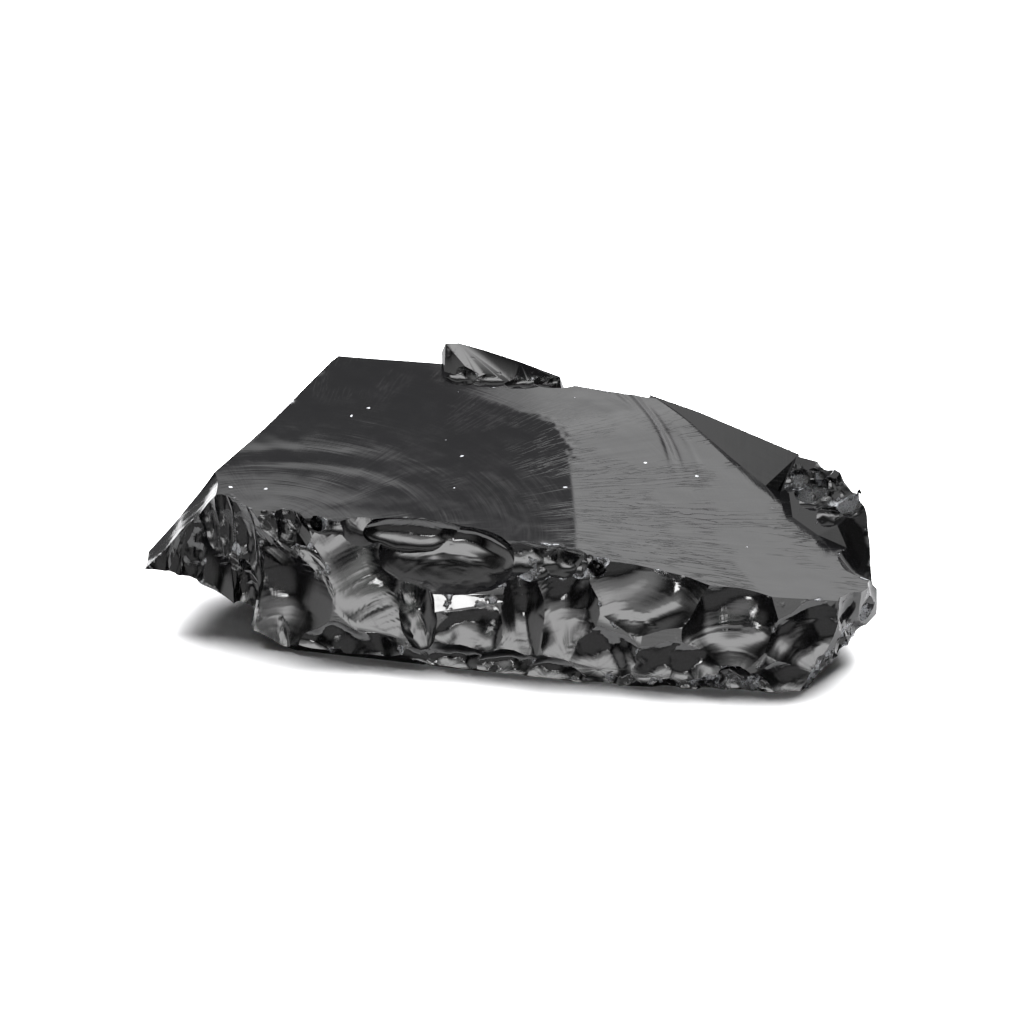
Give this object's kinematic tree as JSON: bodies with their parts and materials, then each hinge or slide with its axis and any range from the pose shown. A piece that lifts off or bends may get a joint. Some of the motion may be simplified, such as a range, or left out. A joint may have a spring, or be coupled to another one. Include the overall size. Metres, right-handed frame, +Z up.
{
  "type": "obsidian chunk",
  "caption": "Wedge-shaped broken chunk of black volcanic glass with a flat base, smooth dished top faces, a scalloped front wall and sharp ridges.",
  "frame": {"origin": "middle of the bounding box in plan, at the level of the flat base it rests on", "axes": "+X along the length towards the knobbed end, +Y towards the thick back edge, +Z up from the flat base"},
  "size_m": [0.0686, 0.049, 0.0149],
  "materials": {
    "obsidian": "gloss"
  },
  "bodies": {
    "root": {"obsidian_chunk": "obsidian"}
  },
  "joints": []
}
